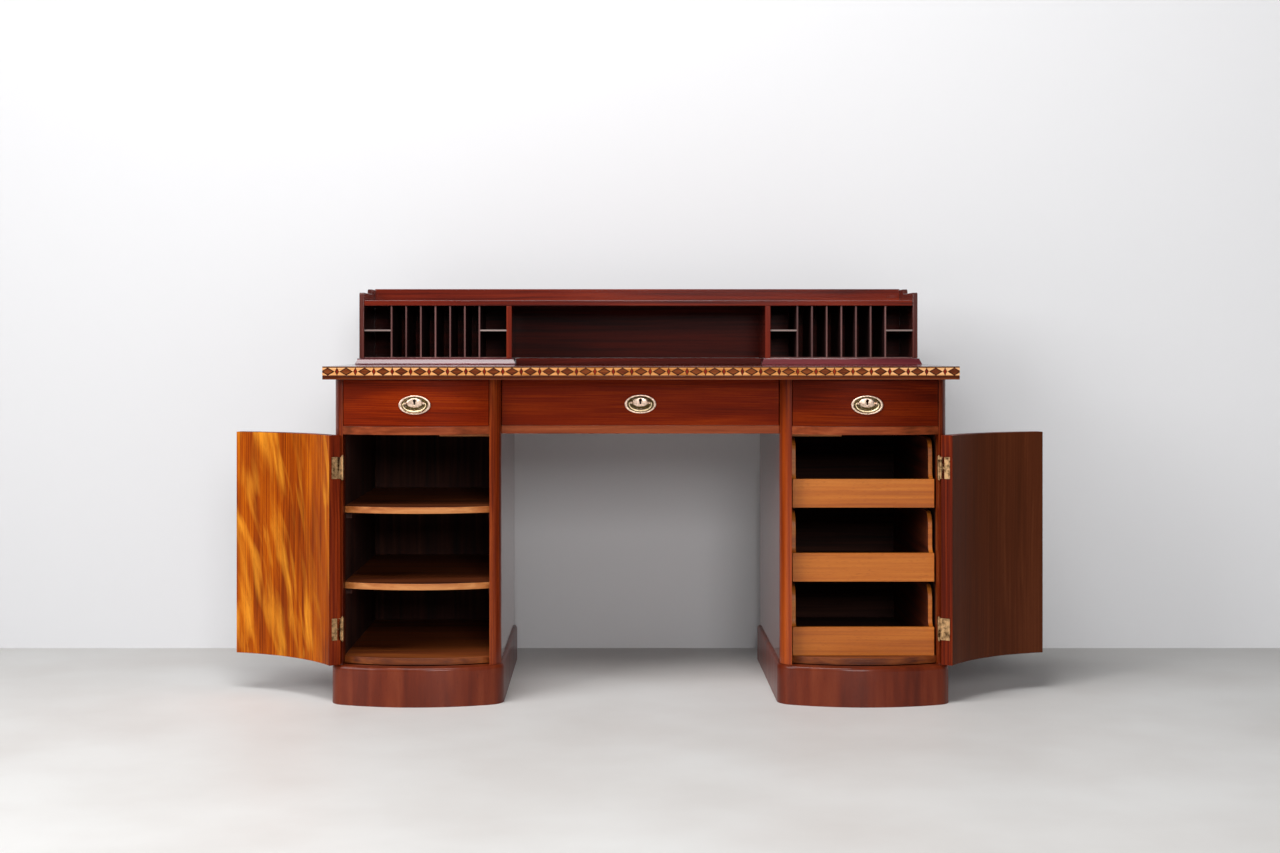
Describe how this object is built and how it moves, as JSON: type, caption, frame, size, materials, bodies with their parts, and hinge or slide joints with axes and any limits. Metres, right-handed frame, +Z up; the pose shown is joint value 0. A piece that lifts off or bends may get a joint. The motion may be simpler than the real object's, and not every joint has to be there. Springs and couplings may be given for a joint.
{
  "type": "pedestal writing desk with pigeonhole gallery",
  "caption": "Mahogany pedestal writing desk with bow-fronted cupboards, frieze drawers, shelves, pull-out trays and a low pigeonhole gallery",
  "frame": {"origin": "on the floor, under the middle of the desktop", "axes": "+X to the right as seen from the front, +Y from the front to the back, +Z up"},
  "size_m": [1.9274, 0.67, 0.973],
  "materials": {
    "desktop_mahogany": "red-brown mahogany, French polished, grain along the width",
    "inlay_satinwood": "satinwood band inlaid with alternating large and small dark diamonds, polished",
    "plinth_mahogany": "darker mahogany, worn satin polish",
    "shelf_mahogany": "plain mahogany, waxed",
    "post_mahogany": "mahogany, French polished, grain upright",
    "side_mahogany": "mahogany, French polished, grain upright",
    "back_board": "mahogany-stained board, dull",
    "rail_mahogany": "mahogany, French polished, grain along the rail",
    "interior_wood": "unpolished drawer wood",
    "figured_door_mahogany": "golden flame-figured mahogany, polished, grain upright",
    "plain_door_mahogany": "brown mahogany, dull polish, grain upright",
    "hinge_brass": "aged brass",
    "drawer_front_mahogany": "red mahogany, French polished, grain along the width",
    "handle_brass": "stamped brass, lightly aged",
    "tray_mahogany": "pale mahogany, waxed",
    "gallery_mahogany": "dark red mahogany, French polished",
    "pigeonhole_mahogany": "thin dark mahogany boards, dull polish"
  },
  "bodies": {
    "carcass": {"desktop": "desktop_mahogany", "inlay_band": "inlay_satinwood", "left_plinth": "plinth_mahogany", "left_bottom_board": "shelf_mahogany", "left_outer_post": "post_mahogany", "left_inner_post": "post_mahogany", "left_outer_side": "side_mahogany", "left_inner_side": "side_mahogany", "left_back": "back_board", "left_rail": "rail_mahogany", "left_drawer_bed": "interior_wood", "left_post_hinge_leaf_lower": "hinge_brass", "left_post_hinge_leaf_upper": "hinge_brass", "lower_shelf": "shelf_mahogany", "upper_shelf": "shelf_mahogany", "right_plinth": "plinth_mahogany", "right_bottom_board": "shelf_mahogany", "right_outer_post": "post_mahogany", "right_inner_post": "post_mahogany", "right_outer_side": "side_mahogany", "right_inner_side": "side_mahogany", "right_back": "back_board", "right_rail": "rail_mahogany", "right_drawer_bed": "interior_wood", "right_post_hinge_leaf_lower": "hinge_brass", "right_post_hinge_leaf_upper": "hinge_brass", "centre_rail": "rail_mahogany", "centre_drawer_bed": "interior_wood", "centre_frieze_back": "back_board", "gallery_left_base": "gallery_mahogany", "gallery_right_base": "gallery_mahogany", "gallery_centre_floor": "gallery_mahogany", "gallery_left_end": "gallery_mahogany", "gallery_right_end": "gallery_mahogany", "left_pigeonholes": "pigeonhole_mahogany", "right_pigeonholes": "pigeonhole_mahogany", "gallery_top_shelf": "gallery_mahogany", "gallery_back": "gallery_mahogany"},
    "left_cupboard_door": {"left_door": "figured_door_mahogany", "left_door_hinge_leaf_lower": "hinge_brass", "left_door_hinge_leaf_upper": "hinge_brass"},
    "right_cupboard_door": {"right_door": "plain_door_mahogany", "right_door_hinge_leaf_lower": "hinge_brass", "right_door_hinge_leaf_upper": "hinge_brass"},
    "left_drawer": {"left_drawer_front": "drawer_front_mahogany", "left_drawer_box": "interior_wood", "left_handle_plate": "handle_brass"},
    "left_drawer_bail": {"left_bail": "handle_brass"},
    "centre_drawer": {"centre_drawer_front": "drawer_front_mahogany", "centre_drawer_box": "interior_wood", "centre_handle_plate": "handle_brass"},
    "centre_drawer_bail": {"centre_bail": "handle_brass"},
    "right_drawer": {"right_drawer_front": "drawer_front_mahogany", "right_drawer_box": "interior_wood", "right_handle_plate": "handle_brass"},
    "right_drawer_bail": {"right_bail": "handle_brass"},
    "bottom_pull_out_tray": {"bottom_tray": "tray_mahogany"},
    "middle_pull_out_tray": {"middle_tray": "tray_mahogany"},
    "top_pull_out_tray": {"top_tray": "tray_mahogany"}
  },
  "joints": [
    {"name": "left_door_hinge", "type": "hinge", "parent": "carcass", "child": "left_cupboard_door", "pos_m": [-0.6855, -0.2898, 0.3562], "axis": [0, 0, -1], "range_deg": [-217, 0]},
    {"name": "right_door_hinge", "type": "hinge", "parent": "carcass", "child": "right_cupboard_door", "pos_m": [0.6855, -0.2898, 0.3562], "axis": [0, 0, 1], "range_deg": [-217, 0]},
    {"name": "left_drawer_slide", "type": "slide", "parent": "carcass", "child": "left_drawer", "axis": [0, -1, 0], "range_m": [0, 0.42]},
    {"name": "centre_drawer_slide", "type": "slide", "parent": "carcass", "child": "centre_drawer", "axis": [0, -1, 0], "range_m": [0, 0.42]},
    {"name": "right_drawer_slide", "type": "slide", "parent": "carcass", "child": "right_drawer", "axis": [0, -1, 0], "range_m": [0, 0.42]},
    {"name": "left_bail_pivot", "type": "hinge", "parent": "left_drawer", "child": "left_drawer_bail", "pos_m": [-0.51675, -0.3235, 0.693], "axis": [-1, 0, 0], "range_deg": [0, 170]},
    {"name": "centre_bail_pivot", "type": "hinge", "parent": "centre_drawer", "child": "centre_drawer_bail", "pos_m": [0, -0.2525, 0.693], "axis": [-1, 0, 0], "range_deg": [0, 170]},
    {"name": "right_bail_pivot", "type": "hinge", "parent": "right_drawer", "child": "right_drawer_bail", "pos_m": [0.51675, -0.3235, 0.693], "axis": [-1, 0, 0], "range_deg": [0, 170]},
    {"name": "bottom_tray_slide", "type": "slide", "parent": "carcass", "child": "bottom_pull_out_tray", "axis": [0, -1, 0], "range_m": [0, 0.42]},
    {"name": "middle_tray_slide", "type": "slide", "parent": "carcass", "child": "middle_pull_out_tray", "axis": [0, -1, 0], "range_m": [0, 0.42]},
    {"name": "top_tray_slide", "type": "slide", "parent": "carcass", "child": "top_pull_out_tray", "axis": [0, -1, 0], "range_m": [0, 0.42]}
  ]
}
